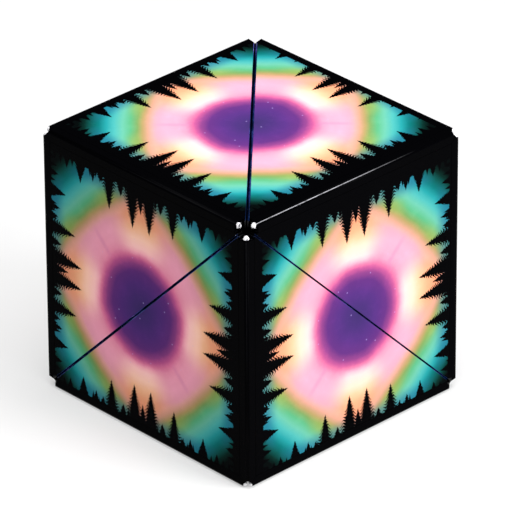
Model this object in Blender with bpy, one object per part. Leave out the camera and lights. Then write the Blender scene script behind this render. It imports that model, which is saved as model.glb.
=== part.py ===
"""Magnetic folding cube: twelve hollow wedges joined edge to edge in one ring by film hinges.

Every wedge is a quarter-depth pyramid of the cube: its outer face is half of a cube face, and its
three inner walls meet at the cube's centre. Two inner walls start at cube edges, where film hinges
join the wedge to its neighbours. The third stands on the diagonal of the cube face, which is an
open seam. The cube stands on Z = 0 with its axis on Z.

Each wedge is a three-walled shell, a lid, disc magnets and a wrap of printed film. There are
three magnet pockets in a wedge, one on each hinge wall and one under the lid beside the seam.
The magnet under the lid is a part here. All lengths are in metres.
"""
from math import cos, pi, sin, sqrt

import bmesh
import bpy
from mathutils import Matrix, Vector

# Whole object
CUBE_SIDE = 0.057            # over the film

# Film and hinges
FILM_THICKNESS = 0.0003
HINGE_GAP = 0.0004           # between the two walls that face each other at a hinge
SEAM_GAP = 0.0004            # between the two walls that face each other at a seam
HINGE_RADIUS = 0.0003        # folded film at a cube edge; its centre line is the hinge's axis
HINGE_SIDES = 8
HINGE_END_CLEARANCE = 0.0042  # from a cube corner to the end of a hinge
HINGE_CLEARANCE = 0.0008     # from the folded film to the wraps that it joins
CORNER_TRIM = 0.0018         # wrap left out at a wedge's corner, measured into the wedge

# Moulded shell and lid
FIT_CLEARANCE = 0.0003       # between pieces that lie on each other
WALL = 0.0012
LID_THICKNESS = 0.0013
BODY_SETBACK = 0.0009        # from the wrap's trimmed edges and corners to the body's

# Magnets and the pockets that hold them
MAGNET_DIAMETER = 0.008
MAGNET_THICKNESS = 0.002
MAGNET_EDGE_DISTANCE = 0.015   # from the hinge edge, down the middle of a hinge wall
MAGNET_SEAM_DISTANCE = 0.009   # from the seam, on the lid
POCKET_WALL = 0.0012
ROUND_SIDES = 16

# Trims, measured into the wedge from its nominal edges and corners. The hinge's axis lies
# HINGE_RADIUS below both cube faces, and EDGE_ANGLE is half the angle of a wedge's hinge edge.
EDGE_ANGLE = pi / 8
AXIS_DISTANCE = HINGE_RADIUS * (cos(EDGE_ANGLE) + sin(EDGE_ANGLE))
EDGE_TRIM = AXIS_DISTANCE + HINGE_RADIUS + HINGE_CLEARANCE
BODY_EDGE_TRIM = EDGE_TRIM + BODY_SETBACK
BODY_CORNER_TRIM = CORNER_TRIM + BODY_SETBACK

# Depths of the layers below the wedge's nominal faces
HINGE_FACE = HINGE_GAP / 2
SEAM_FACE = SEAM_GAP / 2
BODY_DEPTH = FILM_THICKNESS + FIT_CLEARANCE
LID_UNDERSIDE = BODY_DEPTH + LID_THICKNESS
SHELL_RIM = LID_UNDERSIDE + FIT_CLEARANCE
HINGE_WALL_INSIDE = HINGE_FACE + BODY_DEPTH + WALL
SEAM_WALL_INSIDE = SEAM_FACE + BODY_DEPTH + WALL
MAGNET_RADIUS = MAGNET_DIAMETER / 2
POCKET_RADIUS = MAGNET_RADIUS + FIT_CLEARANCE
BOSS_RADIUS = POCKET_RADIUS + POCKET_WALL
BOSS_HEIGHT = MAGNET_THICKNESS + FIT_CLEARANCE

# The cube's corners: two poles, and the six others in zigzag order between them.
# X and Y are in half sides from the axis, Z is in sides from the floor.
POLES = (Vector((1, -1, 1)), Vector((-1, 1, 0)))
ZIGZAG = [Vector(corner) for corner in
          ((-1, -1, 1), (-1, -1, 0), (1, -1, 0), (1, 1, 0), (1, 1, 1), (-1, 1, 1))]
ROOT_WEDGE = 7               # the wedge that stands still while the others fold
OPEN_HINGE = 11              # the ring's open pivot: its film stays on wedge 11

# The wedge's own frame: right-angled corner at the origin, legs along +X and +Y, +Z outwards.
OUTWARD = Vector((0, 0, 1))
HINGE_NORMALS = (Vector((0, -1, -1)).normalized(), Vector((-1, 0, -1)).normalized())
SEAM_NORMAL = Vector((1, 1, 0)).normalized()
HINGE_EDGE_NORMALS = (Vector((0, -cos(EDGE_ANGLE), sin(EDGE_ANGLE))),
                      Vector((-cos(EDGE_ANGLE), 0, sin(EDGE_ANGLE))))
TIP_CORNERS = (                # corner in sides, and the direction that points out of it
    (Vector((0, 0, 0)), Vector((-1, -1, 1)).normalized()),
    (Vector((1, 0, 0)), Vector((1, -1, 1)).normalized()),
    (Vector((0, 1, 0)), Vector((-1, 1, 1)).normalized()),
    (Vector((0.5, 0.5, -0.5)), Vector((1, 1, -3)).normalized()),
)


def clear_scene():
    for obj in list(bpy.data.objects):
        bpy.data.objects.remove(obj, do_unlink=True)


def make_collection(name):
    collection = bpy.data.collections.new(name)
    bpy.context.scene.collection.children.link(collection)
    return collection


def make_material(name, color, roughness, metallic=0.0):
    material = bpy.data.materials.new(name)
    material.use_nodes = True
    shader = material.node_tree.nodes["Principled BSDF"]
    shader.inputs["Base Color"].default_value = (*color, 1.0)
    shader.inputs["Roughness"].default_value = roughness
    shader.inputs["Metallic"].default_value = metallic
    return material


def add_object(name, mesh, collection, material=None):
    obj = bpy.data.objects.new(name, mesh)
    collection.objects.link(obj)
    if material and not mesh.materials:
        mesh.materials.append(material)
    return obj


def add_cutter(name, mesh, cutters):
    obj = add_object(name, mesh, cutters)
    obj.hide_render = True
    obj.display_type = "WIRE"
    return obj


def mesh_from(bm, name):
    mesh = bpy.data.meshes.new(name)
    bm.to_mesh(mesh)
    bm.free()
    return mesh


def wedge_mesh(name, outer, hinge, seam, edge_trim=None, corner_trim=None, floor=None):
    """A wedge whose faces lie at the given depths below the nominal ones."""
    bm = bmesh.new()
    bmesh.ops.create_cube(bm, size=3 * CUBE_SIDE)
    planes = [(OUTWARD * -outer, OUTWARD)]
    planes += [(normal * -hinge, normal) for normal in HINGE_NORMALS]
    planes.append((Vector((CUBE_SIDE, 0, 0)) - SEAM_NORMAL * seam, SEAM_NORMAL))
    if edge_trim is not None:
        planes += [(normal * -edge_trim, normal) for normal in HINGE_EDGE_NORMALS]
    if corner_trim is not None:
        planes += [(corner * CUBE_SIDE - out * corner_trim, out) for corner, out in TIP_CORNERS]
    if floor is not None:
        planes.append((OUTWARD * -floor, -OUTWARD))
    for point, normal in planes:
        everything = bm.verts[:] + bm.edges[:] + bm.faces[:]
        cut = bmesh.ops.bisect_plane(bm, geom=everything, plane_co=point, plane_no=normal,
                                     clear_outer=True)["geom_cut"]
        rim = [item for item in cut if isinstance(item, bmesh.types.BMEdge)]
        if rim:
            bmesh.ops.contextual_create(bm, geom=rim)
    bmesh.ops.recalc_face_normals(bm, faces=bm.faces[:])
    return mesh_from(bm, name)


def disc_bmesh(bm, radius, bottom, top, seat):
    """A disc along the seat's Z axis, from bottom to top."""
    place = seat @ Matrix.Translation((0, 0, (bottom + top) / 2))
    bmesh.ops.create_cone(bm, cap_ends=True, segments=ROUND_SIDES, radius1=radius, radius2=radius,
                          depth=top - bottom, matrix=place)


def disc_mesh(name, radius, bottom, top, seats):
    bm = bmesh.new()
    for seat in seats:
        disc_bmesh(bm, radius, bottom, top, seat)
    return mesh_from(bm, name)


def combined_mesh(name, base, steps, cutters):
    """The base mesh after each (operation, tool mesh) in turn, as one plain mesh."""
    work = add_cutter(name + "_base", base, cutters)
    for number, (operation, tool) in enumerate(steps):
        cut = work.modifiers.new(f"{operation.lower()}_{number}", "BOOLEAN")
        cut.operation = operation
        cut.solver = "EXACT"
        cut.object = add_cutter(f"{name}_tool_{number}", tool, cutters)
    graph = bpy.context.evaluated_depsgraph_get()
    graph.update()
    mesh = bpy.data.meshes.new_from_object(work.evaluated_get(graph))
    mesh.name = name
    return mesh


def seat_matrix(origin, normal):
    """A frame at origin whose Z axis is the normal."""
    turn = normal.to_track_quat("Z", "Y").to_matrix().to_4x4()
    return Matrix.Translation(origin) @ turn


def wall_seats():
    """Where the magnets sit on the two hinge walls: Z points into the wedge from the wall."""
    half = CUBE_SIDE / 2
    down = MAGNET_EDGE_DISTANCE / sqrt(2)
    depth = HINGE_WALL_INSIDE
    spots = (Vector((half, down, -down)), Vector((down, half, -down)))
    return [seat_matrix(spot - normal * depth, -normal)
            for spot, normal in zip(spots, HINGE_NORMALS)]


def lid_seat():
    """Where the magnet sits under the lid: Z points into the wedge."""
    across = CUBE_SIDE / 2 - MAGNET_SEAM_DISTANCE / sqrt(2)
    return seat_matrix(Vector((across, across, -LID_UNDERSIDE)), -OUTWARD)


def wrap_mesh(cutters):
    outside = wedge_mesh("wrap_outside", 0, HINGE_FACE, SEAM_FACE, EDGE_TRIM, CORNER_TRIM)
    inside = wedge_mesh("wrap_inside", FILM_THICKNESS, HINGE_FACE + FILM_THICKNESS,
                        SEAM_FACE + FILM_THICKNESS)
    return combined_mesh("wrap", outside, [("DIFFERENCE", inside)], cutters)


def shell_mesh(cutters):
    outside = wedge_mesh("shell_outside", SHELL_RIM, HINGE_FACE + BODY_DEPTH,
                         SEAM_FACE + BODY_DEPTH, BODY_EDGE_TRIM, BODY_CORNER_TRIM)
    cavity = wedge_mesh("shell_cavity", 0, HINGE_WALL_INSIDE, SEAM_WALL_INSIDE,
                        corner_trim=BODY_CORNER_TRIM + WALL)
    bosses = disc_mesh("shell_bosses", BOSS_RADIUS, -WALL / 2, BOSS_HEIGHT, wall_seats())
    pockets = disc_mesh("shell_pockets", POCKET_RADIUS, 0, BOSS_HEIGHT + WALL, wall_seats())
    steps = [("DIFFERENCE", cavity), ("UNION", bosses), ("DIFFERENCE", pockets)]
    return combined_mesh("shell", outside, steps, cutters)


def lid_mesh(cutters):
    plate = wedge_mesh("lid_plate", BODY_DEPTH, HINGE_FACE + BODY_DEPTH, SEAM_FACE + BODY_DEPTH,
                       BODY_EDGE_TRIM, BODY_CORNER_TRIM, floor=LID_UNDERSIDE)
    seat = [lid_seat()]
    boss = disc_mesh("lid_boss", BOSS_RADIUS, -LID_THICKNESS / 2, BOSS_HEIGHT, seat)
    pocket = disc_mesh("lid_pocket", POCKET_RADIUS, 0, BOSS_HEIGHT + WALL, seat)
    return combined_mesh("lid", plate, [("UNION", boss), ("DIFFERENCE", pocket)], cutters)


def seam_magnet_mesh():
    top = FIT_CLEARANCE + MAGNET_THICKNESS
    return disc_mesh("seam_magnet", MAGNET_RADIUS, FIT_CLEARANCE, top, [lid_seat()])


def hinge_mesh():
    """Folded film along X, as long as a cube edge less its two ends."""
    bm = bmesh.new()
    bmesh.ops.create_cone(bm, cap_ends=True, segments=HINGE_SIDES, radius1=HINGE_RADIUS,
                          radius2=HINGE_RADIUS, depth=CUBE_SIDE - 2 * HINGE_END_CLEARANCE,
                          matrix=Matrix.Rotation(pi / 2, 4, "Y"))
    return mesh_from(bm, "hinge")


def corner_point(corner, inset=0.0):
    """A cube corner in space, moved inwards by inset along each axis."""
    half = CUBE_SIDE / 2
    x, y, z = corner
    return Vector((x * (half - inset), y * (half - inset),
                   half + (2 * z - 1) * (half - inset)))


def wedge_corners(number):
    """A wedge's right-angled corner and the ends of its two legs. Two wedges share a corner."""
    index, second = divmod(number - 1, 2)
    beside = ZIGZAG[(index + (1 if second else -1)) % 6]
    return ZIGZAG[index], POLES[index % 2], beside


def wedge_matrix(number):
    corner, end_a, end_b = (corner_point(place) for place in wedge_corners(number))
    leg_a = (end_a - corner).normalized()
    leg_b = (end_b - corner).normalized()
    centre = Vector((0, 0, CUBE_SIDE / 2))
    if leg_a.cross(leg_b).dot(corner - centre) < 0:
        leg_a, leg_b = leg_b, leg_a
    turn = Matrix((leg_a, leg_b, leg_a.cross(leg_b))).transposed().to_4x4()
    return Matrix.Translation(corner) @ turn


def hinge_ends(number):
    """Hinge n joins wedge n to the next wedge, along the cube edge that both stand on."""
    index, second = divmod(number - 1, 2)
    other = ZIGZAG[(index + 1) % 6] if second else POLES[index % 2]
    return corner_point(ZIGZAG[index], HINGE_RADIUS), corner_point(other, HINGE_RADIUS)


def hinge_matrix(number):
    start, end = hinge_ends(number)
    turn = (end - start).to_track_quat("X", "Z").to_matrix().to_4x4()
    return Matrix.Translation((start + end) / 2) @ turn


def make_pivots(collection):
    """One empty for each wedge, on the hinge that it turns about, parented along the ring."""
    pivots = {ROOT_WEDGE: (None, Vector((0, 0, 0)))}
    for step in (1, -1):
        wedge = ROOT_WEDGE
        while True:
            hinge = wedge if step == 1 else (wedge - 2) % 12 + 1
            if hinge == OPEN_HINGE:
                break
            parent, wedge = wedge, (wedge - 1 + step) % 12 + 1
            pivots[wedge] = (parent, hinge_matrix(hinge).translation)
    empties = {}
    for wedge, (parent, place) in pivots.items():
        empty = bpy.data.objects.new(f"wedge_{wedge:02d}_pivot", None)
        collection.objects.link(empty)
        if parent:
            empty.parent = empties[parent]
            empty.location = place - pivots[parent][1]
        else:
            empty.location = place
        empties[wedge] = empty
    return empties, {wedge: place for wedge, (parent, place) in pivots.items()}


def place_on(obj, empty, empty_place, matrix):
    obj.parent = empty
    obj.matrix_basis = Matrix.Translation(-empty_place) @ matrix


def main():
    clear_scene()
    parts = make_collection("folding_magnet_cube")
    cutters = make_collection("cutters")

    black_abs = make_material("moulded_black_abs", (0.015, 0.015, 0.018), 0.45)
    lid_abs = make_material("moulded_lid_abs", (0.02, 0.02, 0.024), 0.4)
    nickel = make_material("nickel_plated_magnet", (0.75, 0.75, 0.76), 0.22, 1.0)
    print_film = make_material("printed_gloss_film", (0.20, 0.22, 0.34), 0.25)
    hinge_film = make_material("black_hinge_film", (0.01, 0.01, 0.014), 0.25)

    pieces = (
        ("shell", shell_mesh(cutters), black_abs),
        ("lid", lid_mesh(cutters), lid_abs),
        ("seam_magnet", seam_magnet_mesh(), nickel),
        ("wrap", wrap_mesh(cutters), print_film),
    )
    empties, places = make_pivots(parts)
    for wedge in range(1, 13):
        for piece, mesh, material in pieces:
            obj = add_object(f"wedge_{wedge:02d}_{piece}", mesh, parts, material)
            place_on(obj, empties[wedge], places[wedge], wedge_matrix(wedge))

    hinge = hinge_mesh()
    for number in range(1, 13):
        # The film stays on whichever of its two wedges is nearer the root along the ring.
        holder = number if ROOT_WEDGE <= number <= OPEN_HINGE else number % 12 + 1
        obj = add_object(f"hinge_film_{number:02d}", hinge, parts, hinge_film)
        place_on(obj, empties[holder], places[holder], hinge_matrix(number))


main()
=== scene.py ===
"""Folding magnet cube: printed film wraps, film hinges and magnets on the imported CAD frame."""
from math import cos, pi, radians, sin, sqrt

import bmesh
import bpy
from mathutils import Matrix, Vector


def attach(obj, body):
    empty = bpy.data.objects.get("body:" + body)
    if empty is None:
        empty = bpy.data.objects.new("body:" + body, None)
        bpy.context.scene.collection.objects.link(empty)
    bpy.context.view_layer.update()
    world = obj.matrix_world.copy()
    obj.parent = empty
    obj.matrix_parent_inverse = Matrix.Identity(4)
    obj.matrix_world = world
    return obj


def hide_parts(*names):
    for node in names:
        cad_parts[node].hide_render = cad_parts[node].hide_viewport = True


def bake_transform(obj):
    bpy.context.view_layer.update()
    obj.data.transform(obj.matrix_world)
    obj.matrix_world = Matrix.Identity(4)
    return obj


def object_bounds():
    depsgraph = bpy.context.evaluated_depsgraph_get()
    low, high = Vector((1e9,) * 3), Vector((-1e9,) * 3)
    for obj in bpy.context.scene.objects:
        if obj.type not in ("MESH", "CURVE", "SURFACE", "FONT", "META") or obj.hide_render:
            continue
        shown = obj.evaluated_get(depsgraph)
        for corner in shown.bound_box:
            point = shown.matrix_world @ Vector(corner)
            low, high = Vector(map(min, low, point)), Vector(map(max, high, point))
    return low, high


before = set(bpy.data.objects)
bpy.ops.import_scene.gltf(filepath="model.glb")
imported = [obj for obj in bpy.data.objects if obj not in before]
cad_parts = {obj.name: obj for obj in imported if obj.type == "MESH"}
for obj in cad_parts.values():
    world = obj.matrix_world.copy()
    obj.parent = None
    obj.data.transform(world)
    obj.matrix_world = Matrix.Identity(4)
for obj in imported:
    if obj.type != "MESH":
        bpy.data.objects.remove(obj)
CAD_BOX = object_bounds()

# Cube
LOW, HIGH = CAD_BOX
SIDE = HIGH.z - LOW.z
CENTRE = (LOW + HIGH) / 2

# Film wraps, in metres. A gap or a rounding with values by wedge number has the plain value
# on the other wedges.
FILM = 0.00028               # laminated film
HINGE_FACE = 0.0002          # from the nominal hinge wall to the film on it
SEAM_FACE = 0.00015          # from the seam's middle to the film beside it
SEAM_FACES = {1: 0.00013, 10: 0.00015, 2: 0.00012, 5: 0.00015, 6: 0.00011, 9: 0.00011}
SEAM_ROUNDING = 0.0002       # film's bend between an outer face and a seam wall
SEAM_ROUNDINGS = {10: 0.00044, 1: 0.0001, 2: 0.0001, 5: 0.0002, 6: 0.00009, 9: 0.00009}
WALL_ROUNDING = 0.0005       # film's bends between the walls inside the cube
WALL_EDGE_TRIM = 0.0010      # from the nominal hinge edge to the top of a wall
TIP_CUT = 0.00205            # blunt end of an acute tip, from the cube corner
TIP_SLANT = 0.29             # how far that end leans back towards the seam
CORNER_CUT = TIP_CUT / sqrt(3)    # slanted end at a right-angled corner, into the wedge
APEX_TRIM = 0.0018           # blunt end of the apex, from the cube's middle

# Hinge strips, in metres
STRIP_WIDTH = 0.0022         # hinge strip's leg on a cube face
STRIP_JOINT = 0.00004        # between a strip and the panel beside it
STRIP_SETBACK = 0.00003      # from a wedge's seam wall to the end of its strips
STRIP_MERGE = 2e-5           # corners of a strip's two legs this close are one
CREASE_RADIUS = 0.0006       # fold's outer radius
POLE_FOLD_END = 0.0032       # a strip's end at a pole, from the cube corner
BEND_REACH = 0.0012          # a distance from the crease into each leg of a strip
# Folded film's rounded end: middle from the cube corner, length and radius
BEADS = {"pole": (0.0035, 0.0028, 0.00070), "zigzag": (0.0019, 0.0020, 0.00060)}

# Print, in sides of the cube
PRINT_SHIFT = 0.016          # the print's middle, away from the pole
# Where a wedge's print sits off its place, across, along and up the cube
PRINT_SLIPS = {1: (0, 0.004, 0), 2: (0.004, 0, 0), 10: (-0.002, 0.026, 0),
               9: (0, -0.009, -0.024), 6: (0, 0.004, -0.009)}

# Magnets in the shells' wall pockets
MAGNET_RADIUS = 0.004
MAGNET_THICKNESS = 0.002
MAGNET_DOWN = 0.015          # from the hinge edge, down the middle of a wall
MAGNET_DEPTH = 0.0023        # from the nominal hinge wall to the magnet's face
MAGNET_RIM = 0.00025         # rounding of its two rims

# The cube's corners: two poles, and six others in zigzag order between them
POLES = (Vector((1, -1, 1)), Vector((-1, 1, -1)))
ZIGZAG = [Vector(corner) for corner in
          ((-1, -1, 1), (-1, -1, -1), (1, -1, -1), (1, 1, -1), (1, 1, 1), (-1, 1, 1))]
WEDGES = 12
OPEN_HINGE = 11              # the ring is cut here, and each wedge keeps its leg of the strip
HIGHLIT_HINGE = 9               # its crease carries a painted highlight, a thin pale stripe

# Lights: name, azimuth and elevation in degrees, distance, width and height in metres, watts
LIGHTS = (
    ("top_panel", 60, 80, 0.9, 0.8, 0.8, 13.5),
    ("right_panel", 112, 28, 0.9, 0.5, 0.5, 9.5),
    ("corner_light", 43.3, 41.6, 0.9, 0.10, 0.10, 0.6),
)
AMBIENT = 0.052              # strength of the even light from all round

# Floor and camera, in metres
FLOOR_DROP = 0.0002          # from the cube down to the floor
FLOOR_HALF = 3.0
CAMERA_AZIMUTH, CAMERA_ELEVATION, CAMERA_ROLL = radians(46.424), radians(28.792), radians(-0.354)
CAMERA_DISTANCE = 1.228
CAMERA_LENS = 448.9          # millimetres, on a sensor 36 mm wide
AIM_ASIDE, AIM_ABOVE = 0.0002, 0.001115    # from the cube's middle

# A wedge's own frame: right-angled corner at the origin, legs along +X and +Y, +Z outwards
ORIGIN, ALONG_X, ALONG_Y = Vector((0, 0, 0)), Vector((1, 0, 0)), Vector((0, 1, 0))
OUTWARD = Vector((0, 0, 1))
HINGE_NORMALS = (Vector((0, -1, -1)).normalized(), Vector((-1, 0, -1)).normalized())
SEAM_NORMAL = Vector((1, 1, 0)).normalized()
EDGE_NORMALS = (Vector((0, -cos(pi / 8), sin(pi / 8))), Vector((-cos(pi / 8), 0, sin(pi / 8))))
FACES_OUT = 0.98             # a normal's Z above this belongs to the outer face


# ---------------------------------------------------------------- shader building

class Value:
    """A number's socket, on which Python's operators add Math nodes."""

    def __init__(self, finish, socket):
        self.finish = finish
        self.socket = socket

    def math(self, operation, *numbers):
        return self.finish.math(operation, *numbers)

    def __add__(self, other):
        return self.math("ADD", self, other)

    __radd__ = __add__

    def __sub__(self, other):
        return self.math("SUBTRACT", self, other)

    def __rsub__(self, other):
        return self.math("SUBTRACT", other, self)

    def __mul__(self, other):
        return self.math("MULTIPLY", self, other)

    __rmul__ = __mul__

    def __truediv__(self, other):
        return self.math("DIVIDE", self, other)

    def __abs__(self):
        return self.math("ABSOLUTE", self)


class Finish:
    """A material, and the methods that add nodes to it."""

    def __init__(self, name):
        self.material = bpy.data.materials.new(name)
        self.material.use_nodes = True
        self.tree = self.material.node_tree
        self.shader = self.tree.nodes["Principled BSDF"]

    def node(self, kind, settings=(), inputs=(), output=0):
        """Adds a node with these settings and inputs, and gives one of its outputs."""
        node = self.tree.nodes.new("ShaderNode" + kind)
        for name, value in dict(settings).items():
            if name == "stops":
                set_stops(node.color_ramp, value)
            else:
                setattr(node, name, value)
        for name, value in dict(inputs).items():
            self.feed(node.inputs[name], value)
        return Value(self, node.outputs[output])

    def feed(self, socket, value):
        """Links a Value to the socket, or sets a constant on it."""
        if isinstance(value, Value):
            self.tree.links.new(value.socket, socket)
        elif socket.type == "RGBA" and len(value) == 3:
            socket.default_value = (*value, 1.0)
        else:
            socket.default_value = value

    def math(self, operation, *numbers):
        return self.node("Math", {"operation": operation}, enumerate(numbers))

    def highest(self, a, b):
        return self.math("MAXIMUM", a, b)

    def lowest(self, a, b):
        return self.math("MINIMUM", a, b)

    def soft_step(self, value, start, end):
        """0 at the start and 1 at the end, eased at both; the start may be the higher."""
        settings = {"interpolation_type": "SMOOTHSTEP"}
        return self.node("MapRange", settings, {"Value": value, "From Min": start, "From Max": end})

    def mix(self, factor, a, b, blend="MIX"):
        settings = {"data_type": "RGBA", "blend_type": blend}
        return self.node("Mix", settings, {0: factor, 6: a, 7: b}, output=2)

    def ramp(self, value, stops):
        return self.node("ValToRGB", {"stops": stops}, {"Fac": value})

    def noise(self, vector, scale, detail=2.0, roughness=0.5):
        inputs = {"Vector": vector, "Scale": scale, "Detail": detail, "Roughness": roughness}
        return self.node("TexNoise", (), inputs)

    def bump(self, height, strength, distance):
        inputs = {"Height": height, "Strength": strength, "Distance": distance}
        return self.node("Bump", (), inputs)

    def place(self):
        """Object coordinates, in metres."""
        return self.node("TexCoord", output=3)

    def finish_with(self, **inputs):
        """Feeds the shader, and gives the material."""
        for name, value in inputs.items():
            self.feed(self.shader.inputs[name.replace("_", " ")], value)
        return self.material


def set_stops(ramp, stops):
    """Replaces a colour ramp's stops by these positions and colours."""
    while len(ramp.elements) > 1:
        ramp.elements.remove(ramp.elements[0])
    for number, (position, rgb) in enumerate(stops):
        element = ramp.elements[0] if number == 0 else ramp.elements.new(position)
        element.position = position
        element.color = (*rgb, 1.0)


def paint(text):
    """An sRGB colour such as "7a3f9b" as linear red, green and blue."""
    parts = [int(text[i:i + 2], 16) / 255 for i in (0, 2, 4)]
    return tuple(part / 12.92 if part <= 0.04045 else ((part + 0.055) / 1.055) ** 2.4
                 for part in parts)


# ---------------------------------------------------------------- finishes

BLACK_INK = paint("020203")
PRINT_SPECULAR = 0.006       # the printed film mirrors next to nothing

# Conifers on a face's edge: place from the right-angled corner, height, half width at the
# foot and how ragged the branches are, all in sides
CONIFERS = (
    (0.459, 0.199, 0.086, 0.58), (0.541, 0.197, 0.086, 0.58),
    (0.344, 0.170, 0.076, 0.60), (0.656, 0.168, 0.076, 0.60),
    (0.201, 0.126, 0.053, 0.28), (0.799, 0.122, 0.053, 0.28),
    (0.264, 0.096, 0.046, 0.40), (0.735, 0.094, 0.046, 0.40),
    (0.134, 0.092, 0.042, 0.28), (0.866, 0.090, 0.042, 0.28),
    (0.500, 0.132, 0.060, 0.50), (0.402, 0.098, 0.062, 0.50), (0.598, 0.096, 0.062, 0.50),
    (0.300, 0.086, 0.052, 0.45), (0.700, 0.084, 0.052, 0.45),
)
TIERS = 76.0                 # rows of branches in one side
SEEDLINGS = 34.0             # small trees on the ground band in one side


def face_uv(finish):
    """A piece's own map, whole and as its two parts: across and up a face, in sides."""
    uv = finish.node("UVMap", {"uv_map": "face"})
    parts = finish.node("SeparateXYZ", (), {0: uv})
    return uv, parts, Value(finish, parts.socket.node.outputs[1])


def conifer_mask(finish, uv, along, inward):
    """1 on the trees and on the band that they stand on. Widths and heights are in sides."""
    jitter = (finish.noise(uv, 75.0, 3.0, 0.6) - 0.5) * 0.012
    lean = finish.math("SINE", along * 260.0) * 0.35
    row = finish.math("FRACT", inward * TIERS + lean + jitter * 40.0)
    mask = None
    for place, height, width, ragged in CONIFERS:
        level = 1.0 - inward / height
        half_width = width * level * (1.0 - ragged * row)
        side = abs(along + jitter * 0.8 - place)
        tree = half_width - side
        mask = tree if mask is None else finish.highest(mask, tree)
    steps = along * SEEDLINGS
    cell = finish.math("FLOOR", steps)
    lottery = finish.node("TexWhiteNoise", {"noise_dimensions": "1D"}, {"W": cell})
    reach = 0.056 + lottery * 0.038
    from_middle = abs(finish.math("FRACT", steps) - 0.5) / SEEDLINGS
    seedling = (1.0 - inward / reach) * 0.022 - from_middle
    band = 0.054 + jitter * 0.9 - inward
    mask = finish.highest(finish.highest(mask, seedling), band)
    return finish.soft_step(mask, -0.0012, 0.0012)


def sky_colour(finish, uv, across, up):
    """Rings of violet, pink and cream in the middle, and green to dark teal at the corners."""
    x = across * 2.0 - 1.0
    y = up * 2.0 - 1.0
    drift = finish.noise(uv, 5.0, 3.0, 0.55) - 0.5
    grain = finish.noise(uv, 60.0, 2.0, 0.6) - 0.5
    round_distance = finish.math("SQRT", x * x + y * y) + drift * 0.06 + grain * 0.014
    square_distance = (abs(x) + abs(y)) * 0.70 + round_distance * 0.424 + drift * 0.05
    core = finish.ramp(round_distance, (
        (0.00, paint("382a5e")), (0.10, paint("412b68")), (0.20, paint("4c2c70")),
        (0.29, paint("582d70")), (0.345, paint("803c78")), (0.385, paint("ae4f84")),
        (0.42, paint("d06c92")), (0.455, paint("e088a2")), (0.50, paint("e695ab")),
        (0.58, paint("e79ab0")), (0.66, paint("db93a4")), (0.72, paint("d8988f"))))
    cream = finish.ramp(round_distance, (
        (0.28, paint("5c2e70")), (0.335, paint("803c78")), (0.375, paint("ae4f84")),
        (0.408, paint("da7698")), (0.44, paint("f2a3b2")), (0.48, paint("fcc2be")),
        (0.55, paint("fbc6b0")), (0.61, paint("f0b48e")), (0.68, paint("e49c76")),
        (0.76, paint("da8c6a")), (0.86, paint("c67e6a")), (0.95, paint("808090"))))
    folded = abs(x * y) * 2.0 / (x * x + y * y + 0.001)
    towards_edge = finish.soft_step(folded, 0.95, 0.25)
    towards_edge = towards_edge * finish.soft_step(round_distance, 0.34, 0.46)
    middle = finish.mix(towards_edge, core, cream)
    corner = finish.ramp(square_distance / 2.0, (
        (0.450, paint("dca292")), (0.490, paint("c2907a")), (0.518, paint("a08a5a")),
        (0.545, paint("6c9054")), (0.580, paint("52a072")), (0.620, paint("5eaa92")),
        (0.660, paint("44a19d")), (0.696, paint("218b8e")), (0.732, paint("0c6666")),
        (0.770, paint("09463f")), (0.800, paint("072520")), (0.830, paint("040808"))))
    off_diagonal = finish.soft_step(abs(abs(x) - abs(y)), 0.10, 0.42)
    leaf = finish.soft_step(square_distance, 1.02, 1.09)
    leaf = leaf * finish.soft_step(square_distance, 1.24, 1.12)
    corner = finish.mix(off_diagonal * leaf * 0.55, corner, paint("8d9c4c"))
    past_middle = finish.soft_step(square_distance, 0.88, 1.01)
    sky = finish.mix(past_middle, middle, corner)
    near_edge = finish.soft_step(finish.lowest(across, up), 0.130, 0.070)
    cool = near_edge * finish.soft_step(square_distance, 0.88, 1.08)
    cool = cool * finish.soft_step(square_distance, 1.60, 1.38)
    sky = finish.mix(cool * 0.70, sky, paint("23607c"))
    streak = finish.soft_step(abs(across - up), 0.024, 0.0)
    streak = streak * finish.soft_step(round_distance, 0.40, 0.48)
    streak = streak * finish.soft_step(round_distance, 0.70, 0.55)
    sky = finish.mix(streak * 0.35, sky, paint("c9719c"))
    wash = finish.noise(uv, 16.0, 4.0, 0.6)
    sky = finish.mix(finish.soft_step(wash, 0.45, 0.75) * 0.22, sky, paint("f6d9e4"), "SOFT_LIGHT")
    return sky, round_distance


def starlight(finish, dimensions, place, scale, share, rim, core):
    """Small round stars on a share of the cells, dark from the rim out, full inside the core."""
    cells = finish.node("TexVoronoi", {"voronoi_dimensions": dimensions},
                        {"Vector": place, "Scale": scale})
    colours = Value(finish, cells.socket.node.outputs["Color"])
    chance = finish.node("SeparateColor", (), {0: colours})
    return finish.soft_step(cells, rim, core) * finish.math("LESS_THAN", chance, share)


def film_gloss(finish, smear, weave, strength=0.05, depth=0.00004):
    """The laminate's roughness from its smears, and its relief from a shallow weave."""
    return {"Roughness": 0.20 + smear * 0.12, "Normal": finish.bump(weave, strength, depth)}


def printed_face():
    """Laminated film with a generic dusk sky ringed by conifers."""
    finish = Finish("printed_face_film")
    uv, across, up = face_uv(finish)
    inward = finish.lowest(across, up)
    along = finish.highest(across, up)
    sky, distance = sky_colour(finish, uv, across, up)
    stars = starlight(finish, "2D", uv, 26.0, 0.22, 0.10, 0.03)
    stars = stars * finish.soft_step(distance, 0.75, 0.2)
    sky = finish.mix(stars * 0.45, sky, paint("b9a8e8"))
    ink = conifer_mask(finish, uv, along, inward)
    colour = finish.mix(ink, sky, BLACK_INK)
    place = finish.place()
    smear = finish.noise(place, 160.0, 3.0, 0.55)
    gloss = film_gloss(finish, smear, finish.noise(place, 2600.0, 2.0, 0.6))
    return finish.finish_with(Base_Color=colour, Specular_IOR_Level=PRINT_SPECULAR, **gloss)


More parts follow.
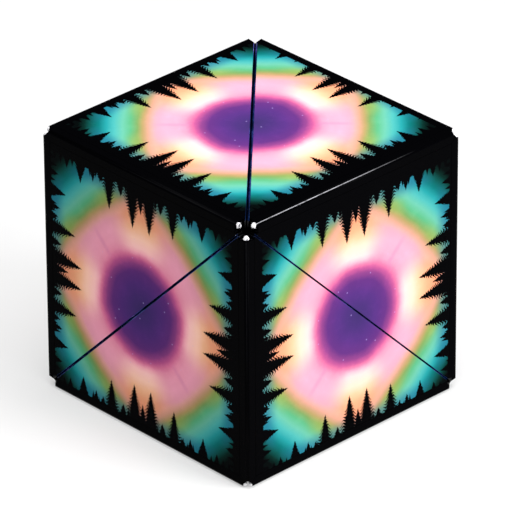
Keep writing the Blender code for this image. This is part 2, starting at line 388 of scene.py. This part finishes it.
def printed_wall():
    """Laminated film with a night sky and a black rim, on the walls inside the cube."""
    finish = Finish("printed_wall_film")
    _, across, depth = face_uv(finish)
    place = finish.place()
    cloud = finish.noise(place, 70.0, 5.0, 0.6)
    wisps = finish.noise(place, 210.0, 4.0, 0.65)
    glow = cloud * 0.75 + wisps * 0.25
    colour = finish.ramp(glow, (
        (0.30, paint("060d20")), (0.42, paint("091838")), (0.50, paint("133066")),
        (0.56, paint("4250a0")), (0.62, paint("957fd2")), (0.70, paint("dccaf4"))))
    stars = starlight(finish, "3D", place, 700.0, 0.14, 0.16, 0.05)
    colour = finish.mix(stars, colour, paint("f2f4ff"))
    inner_rim = (1.0 - abs(across)) * 0.5 - depth
    rim = inner_rim + (wisps - 0.5) * 0.02
    colour = finish.mix(finish.soft_step(rim, 0.050, 0.032), colour, BLACK_INK)
    gloss = film_gloss(finish, wisps, finish.noise(place, 2600.0))
    return finish.finish_with(Base_Color=colour, Specular_IOR_Level=0.20, **gloss)


def fold_film(name, highlight_share):
    """Black printed laminate at a fold, with a painted highlight: a thin pale stripe along the
    crease.
    """
    finish = Finish(name)
    _, along, across = face_uv(finish)
    place = finish.place()
    rub_and_highlight_noise = finish.noise(place, 420.0, 4.0, 0.7)
    # painted highlight on the crease, strongest near the pole and broken up by noise
    highlight_line = finish.soft_step(abs(across), 0.0019, 0.0006)
    highlight_line = highlight_line * finish.soft_step(along, 0.80, 0.30)
    highlight_line = highlight_line * finish.soft_step(rub_and_highlight_noise, 0.20, 0.55) * highlight_share
    colour = finish.mix(highlight_line, BLACK_INK, paint("a3a3a8"))
    gloss = film_gloss(finish, rub_and_highlight_noise, finish.noise(place, 4200.0, 2.0, 0.6), 0.04, 0.00003)
    return finish.finish_with(Base_Color=colour, Specular_IOR_Level=PRINT_SPECULAR, **gloss)


def painted_glint_finish():
    """Painted glint on a fold's rounded end: pale grey-white with darker blotches."""
    finish = Finish("painted_glint_core")
    place = finish.place()
    fibre = finish.noise(place, 2400.0, 3.0, 0.7)
    glint_blotch = finish.noise(place, 700.0, 3.0, 0.6)
    colour = finish.mix(finish.soft_step(glint_blotch, 0.56, 0.72), paint("e4e3e6"), paint("3a3a40"))
    roughness = 0.22 + fibre * 0.20
    normal = finish.bump(fibre, 0.15, 0.00005)
    return finish.finish_with(Base_Color=colour, Roughness=roughness, Normal=normal,
                              Specular_IOR_Level=0.45)


def moulded_plastic(name, colour, grain):
    """Black ABS with a fine sparked grain and faint flow marks."""
    finish = Finish(name)
    place = finish.place()
    spark = finish.noise(place, grain, 3.0, 0.65)
    flow = finish.noise(place, 120.0, 3.0, 0.5)
    shade = finish.mix(finish.soft_step(flow, 0.35, 0.70), colour, paint("26272b"))
    roughness = 0.40 + spark * 0.18
    normal = finish.bump(spark, 0.22, 0.00008)
    return finish.finish_with(Base_Color=shade, Roughness=roughness, Normal=normal,
                              Specular_IOR_Level=0.4)


def nickel_plate():
    """Nickel plated magnet with fine handling scratches."""
    finish = Finish("nickel_plated_magnet")
    place = finish.place()
    cloud = finish.noise(place, 500.0, 4.0, 0.6)
    scratch = finish.noise(place, 5200.0, 2.0, 0.8)
    colour = finish.mix(cloud, paint("c9c8c4"), paint("e2e1dd"))
    roughness = 0.16 + cloud * 0.20
    normal = finish.bump(scratch, 0.10, 0.00003)
    return finish.finish_with(Base_Color=colour, Roughness=roughness, Metallic=1.0, Normal=normal)


def floor_paint():
    """Matt pale floor that also glows, so that it stays near white."""
    finish = Finish("pale_floor")
    place = finish.place()
    mottle = finish.noise(place, 3.0, 3.0, 0.5)
    colour = finish.mix(mottle, (0.35, 0.35, 0.35), (0.38, 0.38, 0.38))
    return finish.finish_with(Base_Color=colour, Roughness=0.8, Specular_IOR_Level=0.0,
                              Emission_Color=(1.0, 1.0, 1.0, 1.0), Emission_Strength=0.44)


# ---------------------------------------------------------------- geometry

def cube_corner(place):
    """A corner of the cube, from its three signs."""
    return CENTRE + place * SIDE / 2


def wedge_place(number):
    """From a wedge's own frame to the cube's."""
    index, second = divmod(number - 1, 2)
    beside = ZIGZAG[(index + (1 if second else -1)) % 6]
    corner, end_a, end_b = (cube_corner(c) for c in (ZIGZAG[index], POLES[index % 2], beside))
    leg_a, leg_b = (end_a - corner).normalized(), (end_b - corner).normalized()
    if leg_a.cross(leg_b).dot(corner - CENTRE) < 0:
        leg_a, leg_b = leg_b, leg_a
    turn = Matrix((leg_a, leg_b, leg_a.cross(leg_b))).transposed().to_4x4()
    return Matrix.Translation(corner) @ turn


def hinge_ends(number):
    """The two cube corners that a hinge's edge joins; a pole comes second."""
    index, second = divmod(number - 1, 2)
    other = ZIGZAG[(index + 1) % 6] if second else POLES[index % 2]
    return cube_corner(ZIGZAG[index]), cube_corner(other)


def cut(bm, point, normal, cap=False, geometry=None):
    """Cuts away what lies beyond the plane."""
    everything = geometry or bm.verts[:] + bm.edges[:] + bm.faces[:]
    found = bmesh.ops.bisect_plane(bm, geom=everything, plane_co=point, plane_no=normal,
                                   dist=1e-7, clear_outer=True)["geom_cut"]
    rim = [item for item in found if isinstance(item, bmesh.types.BMEdge)]
    if cap and rim:
        return bmesh.ops.contextual_create(bm, geom=rim)["faces"]
    return []


def tip_planes():
    """Leaning ends of the two acute tips, slanted end of the corner, blunt end of the apex."""
    return [
        (Vector((SIDE - TIP_CUT, 0, 0)), Vector((1, TIP_SLANT, 0)).normalized()),
        (Vector((0, SIDE - TIP_CUT, 0)), Vector((TIP_SLANT, 1, 0)).normalized()),
        (Vector((1, 1, -1)).normalized() * CORNER_CUT, Vector((-1, -1, 1)).normalized()),
        (Vector((0.5, 0.5, -0.5)) * SIDE - Vector((1, 1, -3)).normalized() * APEX_TRIM,
         Vector((1, 1, -3)).normalized()),
    ]


def rounded(bm, edges, radius, segments):
    """Rounds the edges, with smooth faces."""
    made = bmesh.ops.bevel(bm, geom=edges, affect="EDGES", offset=radius, offset_type="OFFSET",
                           segments=segments, profile=0.5, material=-1, clamp_overlap=True)
    for face in made["faces"]:
        face.smooth = True


def wrap_skin(seam_face, seam_rounding):
    """A wrap's sheet: the outer panel, one seam wall and two hinge walls, open at the ends."""
    bm = bmesh.new()
    bmesh.ops.create_cube(bm, size=3 * SIDE)
    cut(bm, ORIGIN, OUTWARD, cap=True)
    for normal in HINGE_NORMALS:
        cut(bm, normal * -HINGE_FACE, normal, cap=True)
    cut(bm, ALONG_X * SIDE - SEAM_NORMAL * seam_face, SEAM_NORMAL, cap=True)
    bmesh.ops.recalc_face_normals(bm, faces=bm.faces[:])
    seam = [edge for edge in bm.edges
            if all(any(face.normal.dot(normal) > 0.99 for face in edge.link_faces)
                   for normal in (OUTWARD, SEAM_NORMAL))]
    rounded(bm, seam, seam_rounding, 8)
    for normal in EDGE_NORMALS:
        cut(bm, normal * -WALL_EDGE_TRIM, normal, cap=True)
    for point, normal in tip_planes():
        cut(bm, point, normal, cap=True)
    bmesh.ops.recalc_face_normals(bm, faces=bm.faces[:])
    ends = [face for face in bm.faces if is_end(face)]
    bmesh.ops.delete(bm, geom=ends, context="FACES_ONLY")
    for inner in (ALONG_Y, ALONG_X):
        panel = max(bm.faces, key=lambda face: face.normal.z)
        around = [panel] + panel.edges[:] + panel.verts[:]
        cut(bm, inner * (STRIP_WIDTH + STRIP_JOINT), -inner, geometry=around)
    bmesh.ops.remove_doubles(bm, verts=bm.verts[:], dist=1e-6)
    bmesh.ops.recalc_face_normals(bm, faces=bm.faces[:])
    if max(bm.faces, key=lambda face: abs(face.normal.z)).normal.z < 0:
        bmesh.ops.reverse_faces(bm, faces=bm.faces[:])
    corners = [edge for edge in bm.edges if len(edge.link_faces) == 2
               and not any(face.smooth for face in edge.link_faces)]
    rounded(bm, corners, WALL_ROUNDING, 4)
    return bm


def is_end(face):
    """True for the blunt ends, which the film leaves open."""
    main = (OUTWARD, SEAM_NORMAL, *HINGE_NORMALS)
    return not face.smooth and all(face.normal.dot(normal) < 0.999 for normal in main)


def pole_shift(number):
    """The print's shift on a wedge's outer face: its middle moves away from the pole."""
    into_wedge = wedge_place(number).inverted()
    pole = into_wedge @ cube_corner(POLES[(number - 1) // 2 % 2])
    slip = into_wedge.to_3x3() @ Vector(PRINT_SLIPS.get(number, (0, 0, 0)))
    away = PRINT_SHIFT if pole.x > pole.y else -PRINT_SHIFT
    return away - slip.x, -away - slip.y


def lay_out_print(bm, shift):
    """The print's map: across and up the outer face in sides, or along and down each wall."""
    layer = bm.loops.layers.uv.new("face")
    for face in bm.faces:
        x_wall, y_wall = (abs(face.normal.dot(normal)) > 0.9 for normal in HINGE_NORMALS)
        for loop in face.loops:
            x, y, z = loop.vert.co / SIDE
            if face.normal.z > FACES_OUT:
                loop[layer].uv = (x + shift[0], y + shift[1])
            elif x_wall:
                loop[layer].uv = (2 * x - 1, -z)
            elif y_wall:
                loop[layer].uv = (2 * y - 1, -z)
            else:
                loop[layer].uv = (x - y, -z)


def finished(bm, name, materials, thickness=None):
    """The mesh as a piece with these materials. A sheet is thickened inwards."""
    mesh = bpy.data.meshes.new(name)
    bm.to_mesh(mesh)
    bm.free()
    for material in materials:
        mesh.materials.append(material)
    piece = bpy.data.objects.new(name, mesh)
    bpy.context.scene.collection.objects.link(piece)
    if thickness:
        wall = piece.modifiers.new("film", "SOLIDIFY")
        wall.thickness = thickness
        wall.offset = -1.0
        wall.use_even_offset = True
        wall.use_quality_normals = True
    return piece


def make_wrap(number, face_film, wall_film):
    """A wedge's film wrap, on its wedge."""
    bm = wrap_skin(SEAM_FACES.get(number, SEAM_FACE), SEAM_ROUNDINGS.get(number, SEAM_ROUNDING))
    lay_out_print(bm, pole_shift(number))
    for face in bm.faces:
        face.material_index = 0 if face.normal.z > FACES_OUT else 1
    bmesh.ops.transform(bm, matrix=wedge_place(number), verts=bm.verts[:])
    piece = finished(bm, f"wrap_{number:02d}", [face_film, wall_film], FILM)
    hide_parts(f"wedge_{number:02d}_wrap")
    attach(piece, f"wedge_{number:02d}")


def hinge_legs(number, ends):
    """In a wedge's own frame, along the hinge's edge from the right-angled corner, and inward."""
    middle = wedge_place(number).inverted() @ ((ends[0] + ends[1]) / 2)
    return (ALONG_X, ALONG_Y) if abs(middle.x) > abs(middle.y) else (ALONG_Y, ALONG_X)


def inward_on(number, ends):
    """The direction on a wedge's outer face that leads away from the hinge's edge."""
    return wedge_place(number).to_3x3() @ hinge_legs(number, ends)[1]


def strip_leg(bm, number, ends, meets_pole):
    """One leg of a hinge strip: the border of a wedge's face along the hinge's edge."""
    leg = bmesh.new()
    bmesh.ops.create_grid(leg, x_segments=1, y_segments=1, size=SIDE,
                          matrix=Matrix.Translation((SIDE / 2, SIDE / 2, 0)))
    place = wedge_place(number)
    back = place.inverted()
    along, inward = hinge_legs(number, ends)
    setback = SEAM_FACES.get(number, SEAM_FACE) + STRIP_SETBACK
    cut(leg, ORIGIN, -inward)
    cut(leg, inward * (STRIP_WIDTH - STRIP_JOINT), inward)
    cut(leg, (along - inward).normalized() * STRIP_JOINT, inward - along)
    cut(leg, ALONG_X * SIDE - SEAM_NORMAL * setback, SEAM_NORMAL)
    for point, normal in tip_planes()[:3]:
        cut(leg, point, normal)
    if meets_pole:
        from_pole = (back.to_3x3() @ (ends[0] - ends[1])).normalized()
        cut(leg, back @ ends[1] + from_pole * POLE_FOLD_END, -from_pole)
    bmesh.ops.transform(leg, matrix=place, verts=leg.verts[:])
    outward = place.to_3x3() @ OUTWARD
    leg.normal_update()
    if next(iter(leg.faces)).normal.dot(outward) < 0:
        bmesh.ops.reverse_faces(leg, faces=leg.faces[:])
    mesh = bpy.data.meshes.new("leg")
    leg.to_mesh(mesh)
    leg.free()
    bm.from_mesh(mesh)
    bpy.data.meshes.remove(mesh)


def make_hinge(number, films):
    """A film strip over one cube edge, between its two wedges."""
    pair = (number, number % WEDGES + 1)
    ends = hinge_ends(number)
    meets_pole = number % 2 == 1
    if number == OPEN_HINGE:
        for wedge in pair:
            bm = bmesh.new()
            strip_leg(bm, wedge, ends, meets_pole)
            lay_out_fold(bm, ends, pair)
            piece = finished(bm, f"hinge_strip_{number:02d}_wedge_{wedge:02d}", films, FILM)
            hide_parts(f"hinge_film_{number:02d}")
            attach(piece, f"wedge_{wedge:02d}")
        return
    bm = bmesh.new()
    for wedge in pair:
        strip_leg(bm, wedge, ends, meets_pole)
    bmesh.ops.remove_doubles(bm, verts=bm.verts[:], dist=STRIP_MERGE)
    crease = [edge for edge in bm.edges if len(edge.link_faces) == 2]
    rounded(bm, crease, CREASE_RADIUS, 8)
    if meets_pole:
        fold_bead(bm, ends[1], (ends[0] - ends[1]).normalized(), *BEADS["pole"])
    else:
        by_first_pole = number % 4 == 2    # the first of its ends is next to the first pole
        end, far = ends if by_first_pole else ends[::-1]
        fold_bead(bm, end, (far - end).normalized(), *BEADS["zigzag"])
    lay_out_fold(bm, ends, pair)
    piece = finished(bm, f"hinge_strip_{number:02d}", films, FILM)
    middle = (ends[0] + ends[1]) / 2
    start, end = (middle + inward_on(wedge, ends) * BEND_REACH for wedge in pair)
    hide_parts(f"hinge_film_{number:02d}")
    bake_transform(piece)


def lay_out_fold(bm, ends, pair):
    """The fold's map, in sides: along from its second end, and across from its crease."""
    along = (ends[0] - ends[1]).normalized()
    across = (inward_on(pair[1], ends) - inward_on(pair[0], ends)).normalized()
    layer = bm.loops.layers.uv.new("face")
    for face in bm.faces:
        for loop in face.loops:
            offset = (loop.vert.co - ends[1]) / SIDE
            loop[layer].uv = (offset.dot(along), offset.dot(across))


def fold_bead(bm, corner, along, distance, length, radius):
    """The folded film's rounded end, on a strip's crease beside a cube corner."""
    centre = corner + along * distance
    for axis in range(3):
        if abs(along[axis]) < 0.5:
            centre[axis] -= radius * (1 if corner[axis] > CENTRE[axis] else -1)
    stretch = Matrix.Identity(4)
    for axis in range(3):
        stretch[axis][axis] = length / 2 if abs(along[axis]) > 0.5 else radius
    made = bmesh.ops.create_uvsphere(bm, u_segments=20, v_segments=12, radius=1.0,
                                     matrix=Matrix.Translation(centre) @ stretch)
    for vertex in made["verts"]:
        for face in vertex.link_faces:
            face.smooth = True
            # the half that faces the cube corner takes the second material, a painted glint
            face.material_index = 1 if face.normal.dot(along) < -0.30 else 0


def wall_seats():
    """Where the magnets sit on a wedge's hinge walls: Z points into the wedge."""
    down = MAGNET_DOWN / sqrt(2)
    spots = (Vector((SIDE / 2, down, -down)), Vector((down, SIDE / 2, -down)))
    seats = []
    for spot, normal in zip(spots, HINGE_NORMALS):
        turn = (-normal).to_track_quat("Z", "Y").to_matrix().to_4x4()
        seats.append(Matrix.Translation(spot - normal * MAGNET_DEPTH) @ turn)
    return seats


def make_wall_magnets(number, nickel):
    """The two disc magnets behind a wedge's hinge walls."""
    for letter, seat in zip("ab", wall_seats()):
        bm = bmesh.new()
        bmesh.ops.create_cone(bm, cap_ends=True, segments=40, radius1=MAGNET_RADIUS,
                              radius2=MAGNET_RADIUS, depth=MAGNET_THICKNESS,
                              matrix=Matrix.Translation((0, 0, MAGNET_THICKNESS / 2)))
        rims = [edge for edge in bm.edges if abs(edge.verts[0].co.z - edge.verts[1].co.z) < 1e-7]
        rounded(bm, rims, MAGNET_RIM, 2)
        bmesh.ops.transform(bm, matrix=wedge_place(number) @ seat, verts=bm.verts[:])
        piece = finished(bm, f"wall_magnet_{number:02d}{letter}", [nickel])
        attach(piece, f"wedge_{number:02d}")


def dress_cad_nodes(nickel):
    """Finishes for the shells, lids and seam magnets that stay as the CAD has them."""
    shell = moulded_plastic("shell_abs", paint("17181b"), 5200.0)
    lid = moulded_plastic("lid_abs", paint("1b1c20"), 6400.0)
    for name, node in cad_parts.items():
        kind = name.split("_", 2)[2]
        material = {"shell": shell, "lid": lid, "seam_magnet": nickel}.get(kind)
        if material:
            node.data.materials.clear()
            node.data.materials.append(material)


# ---------------------------------------------------------------- studio

def add_floor():
    """A wide plane just under the cube."""
    bm = bmesh.new()
    bmesh.ops.create_grid(bm, x_segments=4, y_segments=4, size=FLOOR_HALF,
                          matrix=Matrix.Translation((0, 0, LOW.z - FLOOR_DROP)))
    floor = finished(bm, "floor", [floor_paint()])


def direction(azimuth, elevation):
    """From the cube towards this azimuth, from the front to the right, and elevation."""
    level = cos(elevation)
    return Vector((sin(azimuth) * level, -cos(azimuth) * level, sin(elevation)))


def add_light(name, azimuth, elevation, distance, width, height, watts):
    """A soft panel that faces the cube, placed by its azimuth and elevation in degrees."""
    back = direction(radians(azimuth), radians(elevation))
    light = bpy.data.lights.new(name, "AREA")
    light.shape = "RECTANGLE"
    light.size, light.size_y = width, height
    light.energy = watts
    lamp = bpy.data.objects.new(name, light)
    bpy.context.scene.collection.objects.link(lamp)
    lamp.location = CENTRE + back * distance
    lamp.rotation_mode = "QUATERNION"
    lamp.rotation_quaternion = back.to_track_quat("Z", "Y")


def light_scene():
    """The panels, and a weak even light from all round."""
    for light in LIGHTS:
        add_light(*light)
    world = bpy.data.worlds.new("studio")
    bpy.context.scene.world = world
    world.use_nodes = True
    background = world.node_tree.nodes["Background"]
    background.inputs["Color"].default_value = (1.0, 1.0, 1.0, 1.0)
    background.inputs["Strength"].default_value = AMBIENT


def facing_back(back):
    """A camera's turn when it looks against this direction, with its small roll."""
    return back.to_track_quat("Z", "Y").to_matrix() @ Matrix.Rotation(CAMERA_ROLL, 3, "Z")


def add_camera():
    """A long lens above the front corner, aimed a little off the cube's middle."""
    back = direction(CAMERA_AZIMUTH, CAMERA_ELEVATION)
    aside, above = facing_back(back) @ ALONG_X, facing_back(back) @ ALONG_Y
    camera = bpy.data.cameras.new("camera")
    camera.lens = CAMERA_LENS
    camera.sensor_width = 36.0
    camera.clip_start, camera.clip_end = 0.05, 20.0
    stand = bpy.data.objects.new("camera", camera)
    bpy.context.scene.collection.objects.link(stand)
    stand.location = CENTRE + back * CAMERA_DISTANCE
    target = CENTRE + aside * AIM_ASIDE + above * AIM_ABOVE
    stand.rotation_mode = "QUATERNION"
    stand.rotation_quaternion = facing_back((stand.location - target).normalized()).to_quaternion()
    bpy.context.scene.camera = stand


def main():
    """Dresses the frame with its films and magnets, and sets the stage."""
    # the third finish is the painted glint on the folds' rounded ends
    face_film, wall_film, core = printed_face(), printed_wall(), painted_glint_finish()
    # the second fold film carries a painted highlight along its crease, the first a faint trace of
    # it
    fold, highlit_fold = fold_film("fold_film", 0.01), fold_film("highlit_fold_film", 1.0)
    nickel = nickel_plate()
    for number in range(1, WEDGES + 1):
        make_wrap(number, face_film, wall_film)
        make_hinge(number, [highlit_fold if number == HIGHLIT_HINGE else fold, core])
        make_wall_magnets(number, nickel)
    dress_cad_nodes(nickel)
    add_floor()
    light_scene()
    add_camera()
    bpy.context.scene.view_settings.view_transform = "Standard"


main()
